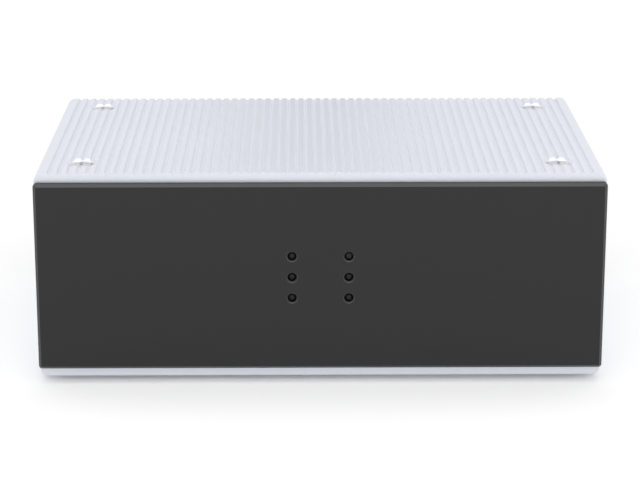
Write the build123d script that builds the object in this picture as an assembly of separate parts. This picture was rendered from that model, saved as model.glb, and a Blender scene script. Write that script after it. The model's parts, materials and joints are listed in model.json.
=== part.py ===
from build123d import *

import math
import os

# A desktop KVM switch: two computers share one monitor, keyboard, mouse and headset.
# The case is two aluminium extrusions, a grooved top shell over a plain bottom shell, held together
# by four pillars and countersunk screws. A dark front plate carries two columns of three indicator
# lights, and the sockets, mains inlet and switches are on the rear panel.
# Millimetres. +Z is up, the front faces -Y, and the origin is the centre of the footprint at the
# surface that the feet stand on.

# ---- case -----------------------------------------------------------------------------------
case_width = 200.0
case_height = 75.0
case_depth = 120.0
case_corner_radius = 3.2
top_wall = 4.0
bottom_wall = 3.5
side_wall = 3.0
mouth_corner_radius = 1.0
seam_height = 36.0            # above the underside of the case
seam_gap = 0.25
tongue_thickness = 1.3
tongue_height = 2.0
tongue_clearance = 0.1
bottom_edge_radius = 0.6

groove_pitch = 3.32
groove_width = 1.45
groove_depth = 0.65
groove_edge_radius = 0.15
groove_margin = 4.9           # least distance from a side to the middle of a groove

channel_offset = 3.8          # middle of a screw channel to the two walls beside it
channel_radius = 3.3
channel_bore_radius = 1.35

# ---- pillars and the countersunk screws that clamp the shells -------------------------------
pillar_radius = 5.0
pillar_offset_x = 12.5        # from the inner face of the side wall
pillar_inset_y = 15.0
pillar_bore_radius = 2.55
pillar_bore_depth = 12.0
clamp_screw_radius = 2.5
clamp_head_radius = 4.6
clamp_head_crown = 0.7
clamp_screw_length = 12.0
clamp_sink_radius = 5.5       # mouth of the countersink in the shell
clamp_hole_radius = 2.75
clamp_recess_span = 5.2
clamp_recess_slot = 1.2
clamp_recess_depth = 1.9
recess_taper = 12             # degrees
seat_clearance = 0.03

# ---- feet -----------------------------------------------------------------------------------
foot_radius = 6.3
foot_stand = 2.0              # height of the case above the surface
foot_pocket_depth = 0.8
foot_pocket_clearance = 0.2
foot_edge = 0.6
foot_inset_x = 17.0
foot_inset_y = 33.0

# ---- front plate, carrier and lights --------------------------------------------------------
plate_thickness = 3.0
plate_overlap_x = 0.2         # the plate stands this far past each side of the case
plate_margin_z = 3.6          # strip of shell left bare above and below the plate
plate_corner_radius = 1.2
plate_bevel = 1.0
carrier_thickness = 1.5
mouth_clearance = 0.3
light_columns = 2
light_rows = 3
light_column_pitch = 20.0
light_row_pitch = 7.62
light_hole_radius = 1.6
light_hole_bevel = 0.4
light_radius = 1.5
light_setback = 0.7           # tip of a lamp behind the face of the plate
light_length = 5.3
light_flange_radius = 1.9
light_flange_height = 1.0
light_lead_radius = 0.25
light_lead_pitch = 2.54
light_lead_length = 3.1
light_lead_root = 0.2         # lead inside the flange
light_screw_setback = 0.2     # end of a board screw behind the carrier's front
light_carrier_hole_radius = 2.1

# ---- rear panel -----------------------------------------------------------------------------
panel_thickness = 1.5
cutout_clearance = 0.25

# ---- end screws in the channels -------------------------------------------------------------
end_screw_radius = 1.3
end_screw_length = 10.0
end_hole_radius = 1.6
end_sink_head_radius = 2.7
end_pan_head_radius = 2.8
end_pan_head_height = 1.9
end_pan_head_rounding = 0.6   # share of its height
end_recess_span = 3.0
end_recess_slot = 0.8
end_recess_depth = 1.0

# ---- boards ---------------------------------------------------------------------------------
board_thickness = 1.6
board_stand = 8.0             # underside of the lower boards above the bottom shell
board_spacer_height = 28.0    # between the main board and the port board
spacer_floor = 1.0            # left solid under a spacer's bore
spacer_stud_reach = 4.0       # of a stud past its board
main_board_depth = 88.0
port_board_depth = 58.0
board_gap = 1.5               # free space round a board
board_hole_inset = 4.0
board_hole_radius = 1.6
spacer_across_flats = 5.5
spacer_bore_radius = 1.3
board_screw_radius = 1.25
board_screw_head_radius = 2.6
board_screw_head_height = 1.8
board_screw_head_rounding = 0.5   # share of its height
board_screw_length = 6.0
board_screw_bore_depth = 7.0
light_board_width = 44.0
light_board_height = 34.0
light_board_hole_inset = 4.0

# ---- video sockets, 15-way high-density D ----------------------------------------------------
video_flange_width = 30.8
video_flange_height = 12.5
video_flange_thickness = 0.8
video_nose_width = 16.9
video_nose_height = 8.4
video_nose_reach = 6.1        # from the front of the flange
video_nose_slope = 10.0       # degrees that each side leans in
video_nose_radius = 2.2
video_wall = 0.5
video_insert_setback = 0.3
video_body_depth = 11.0
video_body_height = 12.5
video_pin_rows = 3
video_pins_in_row = 5
video_pin_pitch = 2.29
video_row_pitch = 1.98
video_pin_radius = 0.5
video_pin_depth = 4.5
video_screw_pitch = 24.99
jack_across_flats = 4.75
jack_length = 5.0
jack_bore_radius = 1.25
jack_bore_depth = 4.4
jack_shank_radius = 1.35
jack_shank_length = 7.0
jack_clearance = 0.2          # between a jackscrew and the holes it passes through
jack_end_clearance = 0.5

# ---- USB sockets ----------------------------------------------------------------------------
usb_wall = 0.35
usb_insert_setback = 0.3
usb_reach = 0.8               # nose past the rear panel
usb_b_width = 12.0
usb_b_height = 11.0
usb_b_depth = 16.0
usb_b_mouth_width = 8.5
usb_b_mouth_height = 7.8
usb_b_mouth_bevel = 1.6
usb_b_mouth_depth = 9.5
usb_b_core_width = 5.6
usb_b_core_height = 3.2
usb_b_core_setback = 1.0
usb_a_width = 13.2
usb_a_height = 15.6
usb_a_depth = 17.5
usb_a_mouth_width = 12.2
usb_a_mouth_height = 5.1
usb_a_mouth_pitch = 7.4
usb_a_mouth_depth = 11.5
usb_a_tongue_width = 11.1
usb_a_tongue_height = 1.84
usb_a_tongue_setback = 0.8
usb_a_tongue_drop = 0.55      # free space above a tongue

# ---- 3.5 mm audio sockets -------------------------------------------------------------------
audio_width = 9.0
audio_height = 8.6
audio_depth = 12.0
audio_collar_radius = 3.1
audio_collar_reach = 1.4      # past the rear panel
audio_bore_radius = 1.8
audio_bore_depth = 13.5
audio_mouth_bevel = 0.5

# ---- reset switch ---------------------------------------------------------------------------
reset_width = 8.0
reset_height = 8.0
reset_depth = 9.0
reset_cap_radius = 2.4
reset_cap_reach = 1.8         # past the rear panel
reset_travel = 1.2
reset_stem_radius = 1.2
reset_stem_clearance = 0.1
reset_hole_clearance = 0.3
reset_cap_back = 2.2          # thick part of the cap behind the panel
reset_stop_gap = 0.3
reset_cap_edge = 0.6
reset_stem_hold = 4.0         # stem inside the switch at rest

# ---- mains inlet with fuse drawer -----------------------------------------------------------
inlet_flange_width = 30.7
inlet_flange_height = 36.0
inlet_flange_thickness = 2.4
inlet_flange_radius = 2.0
inlet_body_width = 27.2
inlet_body_height = 32.2
inlet_body_depth = 20.0       # behind the outer face of the rear panel
inlet_floor_gap = 3.0             # under its flange
supply_back_gap = 4.0             # between its tabs and the supply board
inlet_mouth_width = 24.0
inlet_mouth_height = 16.0
inlet_mouth_bevel = 4.5
inlet_mouth_depth = 16.5
inlet_mouth_top = 2.2         # wall above the mouth
inlet_pin_thickness = 2.0
inlet_pin_bevel = 0.5
inlet_pin_width = 4.0
inlet_earth_pin_width = 5.0
inlet_pin_pitch = 14.0
inlet_pin_drop = 1.5            # line and neutral pins below the middle of the mouth
inlet_earth_rise = 4.0
inlet_pin_reach = 15.0        # from the floor of the mouth
inlet_tab_width = 4.8
inlet_tab_thickness = 0.8
inlet_tab_length = 8.0
drawer_width = 23.0
drawer_height = 8.4
drawer_depth = 17.0
drawer_gap = 1.6              # below the mouth of the inlet
drawer_clearance = 0.2
drawer_floor = 1.2
drawer_face_reach = 0.8       # the face stands proud of the flange
drawer_notch_width = 8.0
drawer_notch_height = 1.6
drawer_notch_depth = 1.2
fuse_radius = 2.6
fuse_length = 20.0
fuse_cap_length = 4.5
fuse_glass_radius = 2.3
fuse_clearance = 0.1
fuse_setback = 7.0            # middle of the fuse behind the face of the drawer

# ---- rocker switch --------------------------------------------------------------------------
switch_flange_width = 21.0
switch_flange_height = 15.0
switch_gap = 5.0                  # between its flange and the inlet's
switch_flange_thickness = 2.0
switch_flange_radius = 1.2
switch_body_width = 19.0
switch_body_height = 13.0
switch_body_depth = 14.0
switch_well_width = 17.0
switch_well_height = 11.0
switch_well_depth = 11.0      # behind the outer face of the rear panel
rocker_end_clearance = 0.3
rocker_width = 10.4
rocker_crown = 0.4            # middle of the face above the flange
rocker_throw = 20.0           # degrees from off to on
rocker_pivot_back = 2.2       # pivot behind the outer face of the rear panel
rocker_pin_radius = 1.2
rocker_pin_length = 0.9
rocker_pin_clearance = 0.05
rocker_keel = 4.5
rocker_keel_width = 6.0
switch_tab_gap = 10.0
switch_tab_rise = 3.2

# ---- power supply ---------------------------------------------------------------------------
supply_board_depth = 72.0
transformer_length = 20.0
transformer_setback = 26.0
transformer_width = 20.0
transformer_height = 19.0
transformer_leg = 4.5
coil_overhang = 2.0
coil_gap = 0.2
bulk_capacitor_radius = 6.5
bulk_capacitor_length = 22.0
bulk_setback = 19.0
output_capacitor_radius = 4.0
output_capacitor_gap = 1.0        # from the middle line between two
output_capacitor_height = 14.0
output_setback = 9.0
heatsink_length = 26.0
heatsink_height = 22.0
heatsink_thickness = 1.5
heatsink_fin_depth = 5.0
heatsink_fins = 5
heatsink_gap = 1.0

# ---- chips, riser and wiring ----------------------------------------------------------------
chip_sizes = (14.0, 10.0, 14.0, 8.0)
chip_height = 1.2
chip_setback = 21.0
riser_width = 42.0
riser_socket_depth = 6.0
riser_socket_height = 8.5
riser_socket_floor = 2.0
header_margin = 2.0           # header past each side of what plugs into it
ribbon_width = 12.7
ribbon_thickness = 0.9
ribbon_header_height = 8.0
ribbon_header_depth = 6.0
ribbon_setback = 8.0
ribbon_bend = 8.0
riser_setback = 6.0
wire_radius = 0.9
wire_gap = 0.1                    # from the middle line between two
wire_bend = 2.5
wire_turn = 5.5
earth_turn = 2.2
earth_bend = 1.9
earth_stud_radius = 1.5
earth_stud_height = 5.0
floor_stud_length = 2.0
floor_stud_clearance = 0.2
dc_header_size = 4.0
dc_supply_inset = 3.5
dc_main_inset = 12.0
dc_setback = 5.5
dc_rise = 7.0
terminal_setback = 8.5
terminal_margin = 3.5


# ---- planes and places that the pieces share ------------------------------------------------
overall_depth = plate_thickness + case_depth + jack_length
front_y = -overall_depth / 2
case_y0 = front_y + plate_thickness
case_y1 = case_y0 + case_depth
carrier_back_y = case_y0 + carrier_thickness
panel_in_y = case_y1 - panel_thickness
case_z0 = foot_stand
case_z1 = case_z0 + case_height
case_middle_z = case_z0 + case_height / 2
inner_z0 = case_z0 + bottom_wall
inner_z1 = case_z1 - top_wall
inner_x = case_width / 2 - side_wall
seam_z = case_z0 + seam_height
channel_x = inner_x - channel_offset
channel_z = (inner_z0 + channel_offset, inner_z1 - channel_offset)
pillar_x = inner_x - pillar_offset_x
pillar_y = (case_y0 + pillar_inset_y, case_y1 - pillar_inset_y)
pillar_places = [(x, y) for x in (-pillar_x, pillar_x) for y in pillar_y]
light_z = [case_middle_z + (row - (light_rows - 1) / 2) * light_row_pitch for row in range(light_rows)]
light_x = [(column - (light_columns - 1) / 2) * light_column_pitch for column in range(light_columns)]
light_board_y = front_y + light_setback + light_length
port_span_x = pillar_x - pillar_radius - board_gap
power_x = -(port_span_x - inlet_flange_width / 2)
main_board_x0 = power_x + inlet_flange_width / 2 + 2 * board_gap
main_board_x1 = port_span_x
board_y1 = panel_in_y - board_gap
main_z = inner_z0 + board_stand
main_top_z = main_z + board_thickness
port_z = main_top_z + board_spacer_height
port_top_z = port_z + board_thickness
inlet_z = inner_z0 + mouth_clearance + inlet_floor_gap + inlet_flange_height / 2
switch_z = inlet_z + (inlet_flange_height + switch_flange_height) / 2 + switch_gap


def block(x0, x1, y0, y1, z0, z1):
    """A box between two corners."""
    return Pos((x0 + x1) / 2, (y0 + y1) / 2, (z0 + z1) / 2) * Box(x1 - x0, y1 - y0, z1 - z0)


def bar(x, z, width, height, y0, y1):
    """A box centred on x and z, of this width and height, that runs along the case's depth."""
    return block(x - width / 2, x + width / 2, y0, y1, z - height / 2, z + height / 2)


def rod_z(radius, x, y, z0, z1):
    """An upright cylinder."""
    return Pos(x, y, (z0 + z1) / 2) * Cylinder(radius, z1 - z0)


def rod_y(radius, x, z, y0, y1):
    """A cylinder along the case's depth."""
    return Pos(x, (y0 + y1) / 2, z) * Rot(90, 0, 0) * Cylinder(radius, y1 - y0)


def cone_y(radius0, radius1, x, z, y0, y1):
    """A cone along the case's depth, with radius0 at y0 and radius1 at y1."""
    return Pos(x, (y0 + y1) / 2, z) * Rot(-90, 0, 0) * Cone(radius0, radius1, y1 - y0)


def along_y(outline, y0, y1):
    """The solid of a face drawn in X and Z, from y0 to y1."""
    return Pos(0, y0, 0) * extrude(Plane.XZ * outline, amount=y1 - y0, dir=(0, 1, 0))


def rounded(x0, x1, z0, z1, radius):
    """A rounded rectangle drawn in X and Z."""
    return Pos((x0 + x1) / 2, (z0 + z1) / 2) * RectangleRounded(x1 - x0, z1 - z0, radius)


def rectangle(x0, x1, z0, z1):
    """A rectangle drawn in X and Z."""
    return Pos((x0 + x1) / 2, (z0 + z1) / 2) * Rectangle(x1 - x0, z1 - z0)


def spread(widths, low, high):
    """Middles of items of these widths, set in a row from low to high with equal gaps."""
    gap = (high - low - sum(widths)) / (len(widths) + 1)
    middles = []
    edge = low
    for width in widths:
        edge += gap
        middles.append(edge + width / 2)
        edge += width
    return middles


def save(name, *solids):
    """Writes one node, of one solid or several."""
    shape = solids[0] if len(solids) == 1 else Compound(children=[s for s in solids])
    export_step(shape, os.path.join("parts", name + ".step"))


# ---- case -----------------------------------------------------------------------------------
def groove_middles():
    """The middle of each groove across the top, an even number so that a land runs down the middle."""
    count = int((case_width - 2 * groove_margin) / groove_pitch) + 1
    count -= count % 2
    return [(i - (count - 1) / 2) * groove_pitch for i in range(count)]


def shell_section(lower):
    """Cross-section of one shell, drawn in X and Z, before the tongue or rebate."""
    half = case_width / 2
    outer = rounded(-half, half, case_z0, case_z1, case_corner_radius)
    inner = rounded(-inner_x, inner_x, inner_z0, inner_z1, mouth_corner_radius)
    if lower:
        cover = rectangle(-half, half, case_z0, seam_z - seam_gap / 2)
        z, wall = channel_z[0], inner_z0
    else:
        cover = rectangle(-half, half, seam_z + seam_gap / 2, case_z1)
        z, wall = channel_z[1], inner_z1
    section = (outer - inner) & cover
    for side in (-1, 1):
        low_x, high_x = sorted((side * channel_x, side * inner_x))
        low_z, high_z = sorted((z, wall))
        boss = Pos(side * channel_x, z) * Circle(channel_radius)
        web = rectangle(low_x, high_x, low_z, high_z)
        bore = Pos(side * channel_x, z) * Circle(channel_bore_radius)
        section = section + boss + web - bore
    return section


def channel_relief(z):
    """What is milled off the ends of the screw channels, so that the panels sit in the mouths."""
    cuts = []
    for y0, y1 in ((case_y0, carrier_back_y), (panel_in_y, case_y1)):
        low_z, high_z = (inner_z0, seam_z) if z < seam_z else (seam_z, inner_z1)
        cuts.append(block(-inner_x, inner_x, y0, y1, low_z, high_z))
    return cuts


def clamp_hole(x, y, face_z, inside_z):
    """A countersunk hole through a wall whose outer face is at face_z."""
    up = 1 if face_z > inside_z else -1
    sink = clamp_sink_radius - clamp_hole_radius
    cone = Cone(clamp_sink_radius, clamp_hole_radius, sink)
    flip = Rot(180, 0, 0) if up > 0 else Rot(0, 0, 0)
    low_z, high_z = sorted((face_z, inside_z))
    return [
        Pos(x, y, face_z - up * sink / 2) * flip * cone,
        rod_z(clamp_hole_radius, x, y, low_z, high_z),
    ]


def top_shell():
    section = shell_section(lower=False)
    radius = (groove_width**2 / 4 + groove_depth**2) / (2 * groove_depth)
    section -= [Pos(x, case_z1 + radius - groove_depth) * Circle(radius) for x in groove_middles()]
    lands = [vertex for vertex in section.vertices() if abs(vertex.Y - case_z1) < 1e-4]
    lands = [vertex for vertex in lands if abs(vertex.X) < groove_middles()[-1] + groove_width]
    section = fillet(lands, groove_edge_radius)
    rebate = tongue_thickness + tongue_clearance
    for side in (-1, 1):
        low_x, high_x = sorted((side * inner_x, side * (inner_x + rebate)))
        section -= rectangle(low_x, high_x, seam_z, seam_z + tongue_height + tongue_clearance)
    shell = along_y(section, case_y0, case_y1)
    shell -= channel_relief(channel_z[1])
    for x, y in pillar_places:
        shell -= clamp_hole(x, y, case_z1, inner_z1)
    return shell


def bottom_shell():
    section = shell_section(lower=True)
    for side in (-1, 1):
        low_x, high_x = sorted((side * inner_x, side * (inner_x + tongue_thickness)))
        section += rectangle(low_x, high_x, seam_z - 2 * seam_gap, seam_z + tongue_height)
    shell = along_y(section, case_y0, case_y1)
    ends = [
        edge
        for edge in shell.edges().filter_by(Axis.X)
        if abs(edge.center().Z - case_z0) < 1e-3
    ]
    shell = fillet(ends, bottom_edge_radius)
    shell -= channel_relief(channel_z[0])
    for x, y in pillar_places:
        shell -= clamp_hole(x, y, case_z0, inner_z0)
    for x, y in foot_places():
        pocket = foot_radius + foot_pocket_clearance
        shell -= rod_z(pocket, x, y, case_z0, case_z0 + foot_pocket_depth)
    return shell


def pillars():
    made = []
    for x, y in pillar_places:
        pillar = rod_z(pillar_radius, x, y, inner_z0, inner_z1)
        pillar -= rod_z(pillar_bore_radius, x, y, inner_z0, inner_z0 + pillar_bore_depth)
        pillar -= rod_z(pillar_bore_radius, x, y, inner_z1 - pillar_bore_depth, inner_z1)
        made.append(pillar)
    return made


def cross_recess(span, slot, depth):
    """The cross-shaped recess of a screw, cut down from the plane of the head."""
    cross = Rectangle(span, slot) + Rectangle(slot, span)
    return extrude(cross, amount=-depth, taper=recess_taper)


def clamp_screw():
    """A raised countersunk screw with the rim of its head at the origin, pointing down."""
    rim = clamp_head_radius - seat_clearance
    drop = clamp_head_radius - clamp_screw_radius
    ball = (rim**2 + clamp_head_crown**2) / (2 * clamp_head_crown)
    crown = Pos(0, 0, clamp_head_crown - ball) * Sphere(ball) & rod_z(rim, 0, 0, 0, clamp_head_crown)
    head = Pos(0, 0, -drop / 2) * Cone(clamp_screw_radius - seat_clearance, rim, drop)
    shank = rod_z(clamp_screw_radius, 0, 0, -clamp_screw_length, -drop)
    recess = cross_recess(clamp_recess_span, clamp_recess_slot, clamp_recess_depth)
    return head + crown + shank - Pos(0, 0, clamp_head_crown) * recess


def clamp_screws():
    """The screws in the top shell and those in the bottom shell."""
    drop = clamp_sink_radius - clamp_head_radius
    screw = clamp_screw()
    top = [Pos(x, y, case_z1 - drop) * screw for x, y in pillar_places]
    bottom = [Pos(x, y, case_z0 + drop) * Rot(180, 0, 0) * screw for x, y in pillar_places]
    return top + bottom


def foot_places():
    x = case_width / 2 - foot_inset_x
    y = (case_y0 + foot_inset_y, case_y1 - foot_inset_y)
    return [(-x, y[0]), (x, y[0]), (-x, y[1]), (x, y[1])]


def foot(x, y):
    made = rod_z(foot_radius, x, y, 0, case_z0 + foot_pocket_depth)
    return chamfer(made.edges().sort_by(Axis.Z)[0], foot_edge)


# ---- front ----------------------------------------------------------------------------------
def light_places():
    return [(x, z) for x in light_x for z in light_z]


def front_plate():
    half = case_width / 2 + plate_overlap_x
    outline = rounded(-half, half, case_z0 + plate_margin_z, case_z1 - plate_margin_z, plate_corner_radius)
    plate = along_y(outline, front_y, case_y0)
    plate = chamfer(plate.faces().sort_by(Axis.Y)[0].edges(), plate_bevel)
    for x, z in light_places():
        plate -= rod_y(light_hole_radius, x, z, front_y, case_y0)
        mouth = light_hole_radius + light_hole_bevel
        plate -= cone_y(mouth, light_hole_radius, x, z, front_y, front_y + light_hole_bevel)
    return plate


def channel_places():
    return [(side * channel_x, z) for side in (-1, 1) for z in channel_z]


def light_board_holes():
    x = light_board_width / 2 - light_board_hole_inset
    z = light_board_height / 2 - light_board_hole_inset
    return [(i * x, case_middle_z + k * z) for i in (-1, 1) for k in (-1, 1)]


def mouth_outline():
    return rounded(
        -inner_x + mouth_clearance,
        inner_x - mouth_clearance,
        inner_z0 + mouth_clearance,
        inner_z1 - mouth_clearance,
        mouth_corner_radius,
    )


def front_carrier():
    carrier = along_y(mouth_outline(), case_y0, carrier_back_y)
    for x, z in channel_places():
        carrier -= rod_y(end_hole_radius, x, z, case_y0, carrier_back_y)
        sink = end_sink_head_radius - end_hole_radius
        carrier -= cone_y(end_sink_head_radius, end_hole_radius, x, z, case_y0, case_y0 + sink)
    for x, z in light_places():
        carrier -= rod_y(light_carrier_hole_radius, x, z, case_y0, carrier_back_y)
    for x, z in light_board_holes():
        carrier -= rod_y(spacer_bore_radius, x, z, case_y0, carrier_back_y)
    return carrier


def carrier_screws():
    made = []
    for x, z in channel_places():
        drop = end_sink_head_radius - end_hole_radius
        head = cone_y(end_sink_head_radius - seat_clearance, end_screw_radius, x, z, case_y0, case_y0 + drop)
        shank = rod_y(end_screw_radius, x, z, case_y0 + drop, case_y0 + end_screw_length)
        recess = cross_recess(end_recess_span, end_recess_slot, end_recess_depth)
        made.append(head + shank - Pos(x, case_y0, z) * Rot(90, 0, 0) * recess)
    return made


def panel_screws():
    made = []
    for x, z in channel_places():
        head = rod_y(end_pan_head_radius, x, z, case_y1, case_y1 + end_pan_head_height)
        head = fillet(head.edges().sort_by(Axis.Y)[-1], end_pan_head_height * end_pan_head_rounding)
        shank = rod_y(end_screw_radius, x, z, case_y1 - end_screw_length, case_y1)
        recess = cross_recess(end_recess_span, end_recess_slot, end_recess_depth)
        place = Pos(x, case_y1 + end_pan_head_height, z) * Rot(-90, 0, 0)
        made.append(head + shank - place * recess)
    return made


def light_board():
    half = light_board_width / 2
    z0 = case_middle_z - light_board_height / 2
    y1 = light_board_y + board_thickness
    board = block(-half, half, light_board_y, y1, z0, z0 + light_board_height)
    for x, z in light_board_holes():
        board -= rod_y(board_hole_radius, x, z, light_board_y, y1)
    for x, z in light_places():
        for lead in (-1, 1):
            lead_x = x + lead * light_lead_pitch / 2
            board -= rod_y(light_lead_radius + seat_clearance, lead_x, z, light_board_y, y1)
    return board


def lamp(x, z):
    """One 3 mm lamp, its domed tip towards the front and its leads through the board."""
    tip_y = light_board_y - light_length
    made = rod_y(light_radius, x, z, tip_y + light_radius, light_board_y)
    made += Pos(x, tip_y + light_radius, z) * Sphere(light_radius)
    made += rod_y(light_flange_radius, x, z, light_board_y - light_flange_height, light_board_y)
    for lead in (-1, 1):
        lead_x = x + lead * light_lead_pitch / 2
        root = light_board_y - light_lead_root
        made += rod_y(light_lead_radius, lead_x, z, root, light_board_y + light_lead_length)
    return made


def light_board_fixings():
    """The spacers between the carrier and the light board, and the screws through both."""
    spacers, screws = [], []
    for x, z in light_board_holes():
        spacer = rod_y(spacer_across_flats / 2, x, z, carrier_back_y, light_board_y)
        spacers.append(spacer - rod_y(board_hole_radius, x, z, carrier_back_y, light_board_y))
        back = light_board_y + board_thickness
        head = rod_y(board_screw_head_radius, x, z, back, back + board_screw_head_height)
        head = fillet(head.edges().sort_by(Axis.Y)[-1], board_screw_head_height * board_screw_head_rounding)
        screws.append(head + rod_y(board_screw_radius, x, z, case_y0 + light_screw_setback, back))
    return spacers, screws


# ---- boards and what fixes them -------------------------------------------------------------
main_board_y0 = board_y1 - main_board_depth
port_board_y0 = board_y1 - port_board_depth
supply_y1 = case_y1 - inlet_body_depth - inlet_tab_length - supply_back_gap
supply_y0 = supply_y1 - supply_board_depth
supply_x0 = -port_span_x
supply_x1 = main_board_x0 - board_gap
terminal_y = supply_y1 - terminal_setback


def corners(x0, x1, y0, y1, inset):
    """The four fixing points of a board."""
    return [(x, y) for x in (x0 + inset, x1 - inset) for y in (y0 + inset, y1 - inset)]


def port_board_holes():
    return corners(main_board_x0, main_board_x1, port_board_y0, board_y1, board_hole_inset)


def main_board_front_holes():
    low_y = main_board_y0 + board_hole_inset
    return [(x, low_y) for x in (main_board_x0 + board_hole_inset, main_board_x1 - board_hole_inset)]


def supply_board_holes():
    return corners(supply_x0, supply_x1, supply_y0, supply_y1, board_hole_inset)


def floor_holes():
    return port_board_holes() + main_board_front_holes() + supply_board_holes()


def drilled_board(x0, x1, y0, y1, z, holes):
    board = block(x0, x1, y0, y1, z, z + board_thickness)
    for x, y in holes:
        board -= rod_z(board_hole_radius, x, y, z, z + board_thickness)
    return board


def spacer(x, y, z0, z1, stud_length):
    """A hexagonal spacer with a stud below it and a bore in its top."""
    made = Pos(x, y, z0) * extrude(RegularPolygon(spacer_across_flats / 2, 6, major_radius=False), z1 - z0)
    made += rod_z(board_screw_radius, x, y, z0 - stud_length, z0)
    bore_depth = min(board_screw_bore_depth, z1 - z0 - spacer_floor)
    return made - rod_z(spacer_bore_radius, x, y, z1 - bore_depth, z1)


def board_spacers():
    made = [spacer(x, y, inner_z0, main_z, floor_stud_length) for x, y in floor_holes()]
    stud = board_thickness + spacer_stud_reach
    made += [spacer(x, y, main_top_z, port_z, stud) for x, y in port_board_holes()]
    return made


def board_screw(x, y, z, length):
    """A pan-head screw whose head stands on the board at z."""
    head = rod_z(board_screw_head_radius, x, y, z, z + board_screw_head_height)
    head = fillet(head.edges().sort_by(Axis.Z)[-1], board_screw_head_height * board_screw_head_rounding)
    return head + rod_z(board_screw_radius, x, y, z - length, z)


def board_screws():
    places = [(x, y, port_top_z) for x, y in port_board_holes()]
    places += [(x, y, main_top_z) for x, y in main_board_front_holes() + supply_board_holes()]
    return [board_screw(x, y, z, board_screw_length) for x, y, z in places]


# ---- rear sockets ---------------------------------------------------------------------------
def console_places():
    """Middles of the console sockets: video, stacked USB, speaker, microphone and reset."""
    widths = [video_flange_width, usb_a_width, audio_width, audio_width, reset_width]
    return spread(widths, main_board_x0, main_board_x1)


def computer_places():
    """Middles of the computer sockets: video and USB for each of the two computers."""
    widths = [video_flange_width, usb_b_width] * 2
    return spread(widths, main_board_x0, main_board_x1)


console_video_x, usb_a_x, speaker_x, microphone_x, reset_x = console_places()
video_1_x, usb_1_x, video_2_x, usb_2_x = computer_places()
video_rise = video_flange_height / 2
video_places = {
    "console": (console_video_x, main_top_z + video_rise),
    "computer_1": (video_1_x, port_top_z + video_rise),
    "computer_2": (video_2_x, port_top_z + video_rise),
}
usb_b_places = {
    "1": (usb_1_x, port_top_z + usb_b_height / 2),
    "2": (usb_2_x, port_top_z + usb_b_height / 2),
}
audio_z = main_top_z + audio_height / 2
reset_z = main_top_z + reset_height / 2
usb_a_z = main_top_z + usb_a_height / 2


def d_outline(x, z, grow):
    """The D shape of a video socket, wider at the top, grown outwards by a distance."""
    half = video_nose_width / 2 + grow
    low = half - (video_nose_height + 2 * grow) * math.tan(math.radians(video_nose_slope))
    rise = video_nose_height / 2 + grow
    points = [(-low, -rise), (low, -rise), (half, rise), (-half, rise)]
    outline = make_face(Polyline(*points, close=True))
    return Pos(x, z) * fillet(outline.vertices(), video_nose_radius + grow)


def video_shell(x, z):
    """The plated shell: a flange behind the rear panel and a D-shaped nose through it."""
    back = panel_in_y - video_flange_thickness
    front = panel_in_y + video_nose_reach
    shell = bar(x, z, video_flange_width, video_flange_height, back, panel_in_y)
    shell += along_y(d_outline(x, z, 0), back, front)
    shell -= along_y(d_outline(x, z, -video_wall), back, front)
    for side in (-1, 1):
        jack_x = x + side * video_screw_pitch / 2
        hole = jack_shank_radius + jack_clearance
        shell -= rod_y(hole, jack_x, z, back, panel_in_y)
    return shell


def video_insert(x, z):
    """The moulded body, with fifteen contacts' holes in its D-shaped face."""
    front = panel_in_y + video_nose_reach - video_insert_setback
    back = panel_in_y - video_flange_thickness
    body = bar(x, z, video_flange_width, video_body_height, back - video_body_depth, back)
    body += along_y(d_outline(x, z, -video_wall - seat_clearance), back, front)
    for row in range(video_pin_rows):
        pin_z = z + (1 - row) * video_row_pitch
        shift = (0.5 if row == 1 else 0.0) * video_pin_pitch - video_pin_pitch / 4
        for pin in range(video_pins_in_row):
            pin_x = x + (pin - (video_pins_in_row - 1) / 2) * video_pin_pitch + shift
            body -= rod_y(video_pin_radius, pin_x, pin_z, front - video_pin_depth, front)
    for side in (-1, 1):
        jack_x = x + side * video_screw_pitch / 2
        hole = jack_shank_radius + jack_clearance
        body -= rod_y(hole, jack_x, z, case_y1 - jack_shank_length - jack_end_clearance, back)
    return body


def video_jackscrews():
    made = []
    front = case_y1 + jack_length
    for x, z in video_places.values():
        for side in (-1, 1):
            jack_x = x + side * video_screw_pitch / 2
            hexagon = RegularPolygon(jack_across_flats / 2, 6, major_radius=False)
            jack = along_y(Pos(jack_x, z) * hexagon, case_y1, front)
            jack += rod_y(jack_shank_radius, jack_x, z, case_y1 - jack_shank_length, case_y1)
            jack -= rod_y(jack_bore_radius, jack_x, z, front - jack_bore_depth, front)
            made.append(jack)
    return made


def usb_b_shell(x, z):
    front = case_y1 + usb_reach
    back = front - usb_b_depth
    shell = bar(x, z, usb_b_width, usb_b_height, back, front)
    return shell - bar(x, z, usb_b_width - 2 * usb_wall, usb_b_height - 2 * usb_wall, back, front)


def usb_b_insert(x, z):
    front = case_y1 + usb_reach - usb_insert_setback
    back = case_y1 + usb_reach - usb_b_depth
    less = 2 * (usb_wall + seat_clearance)
    body = bar(x, z, usb_b_width - less, usb_b_height - less, back, front)
    mouth = Rectangle(usb_b_mouth_width, usb_b_mouth_height)
    mouth = chamfer(mouth.vertices().sort_by(Axis.Y)[-2:], usb_b_mouth_bevel)
    body -= along_y(Pos(x, z) * mouth, front - usb_b_mouth_depth, front)
    core_y1 = front - usb_b_core_setback
    return body + bar(x, z, usb_b_core_width, usb_b_core_height, front - usb_b_mouth_depth, core_y1)


def usb_a_levels():
    return [usb_a_z + side * usb_a_mouth_pitch / 2 for side in (-1, 1)]


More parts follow.
